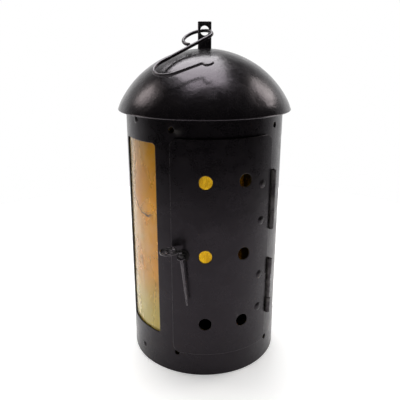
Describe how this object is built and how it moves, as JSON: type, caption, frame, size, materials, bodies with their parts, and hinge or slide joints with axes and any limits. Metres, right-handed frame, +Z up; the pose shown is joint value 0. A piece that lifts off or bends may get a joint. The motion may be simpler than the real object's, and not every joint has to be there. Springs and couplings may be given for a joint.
{
  "type": "candle lantern",
  "caption": "Sheet-iron candle lantern with horn windows, a vented hinged door with a pin latch, a domed top and a hanging hook.",
  "frame": {"origin": "centre of the flat underside", "axes": "+Z up along the lantern's axis; -Y out through the middle of the door; +X to the right seen from the door"},
  "size_m": [0.1434, 0.1434, 0.285],
  "materials": {
    "black_iron": "satin black",
    "horn": "polished translucent horn",
    "wax": "wax",
    "wick_cotton": "waxed cotton"
  },
  "bodies": {
    "lantern": {"shell": "black_iron", "base_pan": "black_iron", "base_rivets": "black_iron", "dome": "black_iron", "dome_collar": "black_iron", "dome_rivets": "black_iron", "hanging_strap": "black_iron", "pane_left": "horn", "pane_right": "horn", "pane_rear_right": "horn", "pane_rear_left": "horn", "pane_clips": "black_iron", "drip_tray": "black_iron", "candle_socket": "black_iron", "socket_rivet": "black_iron", "upper_hinge_shell_leaf": "black_iron", "lower_hinge_shell_leaf": "black_iron", "upper_hinge_pin": "black_iron", "lower_hinge_pin": "black_iron"},
    "door": {"door_panel": "black_iron", "upper_hinge_door_leaf": "black_iron", "lower_hinge_door_leaf": "black_iron", "door_rivets": "black_iron"},
    "latch": {"latch_spindle": "black_iron", "latch_washer": "black_iron", "latch_spacer": "black_iron", "latch_tongue": "black_iron"},
    "latch_pin": {"latch_pin": "black_iron"},
    "hook": {"hanging_hook": "black_iron"},
    "candle": {"candle": "wax", "wick": "wick_cotton"}
  },
  "joints": [
    {"name": "door_swing", "type": "hinge", "parent": "lantern", "child": "door", "pos_m": [0.04298, -0.0527, 0.1107], "axis": [0, 0, 1], "range_deg": [0, 120]},
    {"name": "latch_turn", "type": "hinge", "parent": "door", "child": "latch", "pos_m": [-0.03428, -0.06366, 0.111], "axis": [0.4741, 0.8805, 0], "range_deg": [0, 96]},
    {"name": "latch_pin_lift", "type": "slide", "parent": "latch", "child": "latch_pin", "axis": [-0.092, 0.0496, 0.9945], "range_m": [0, 0.042]},
    {"name": "hook_swing", "type": "hinge", "parent": "lantern", "child": "hook", "pos_m": [0, 0, 0.278], "axis": [-0.7071, 0.7071, 0], "range_deg": [-2.5, 233]},
    {"name": "candle_lift", "type": "slide", "parent": "lantern", "child": "candle", "axis": [0, 0, 1], "range_m": [0, 0.06]}
  ]
}
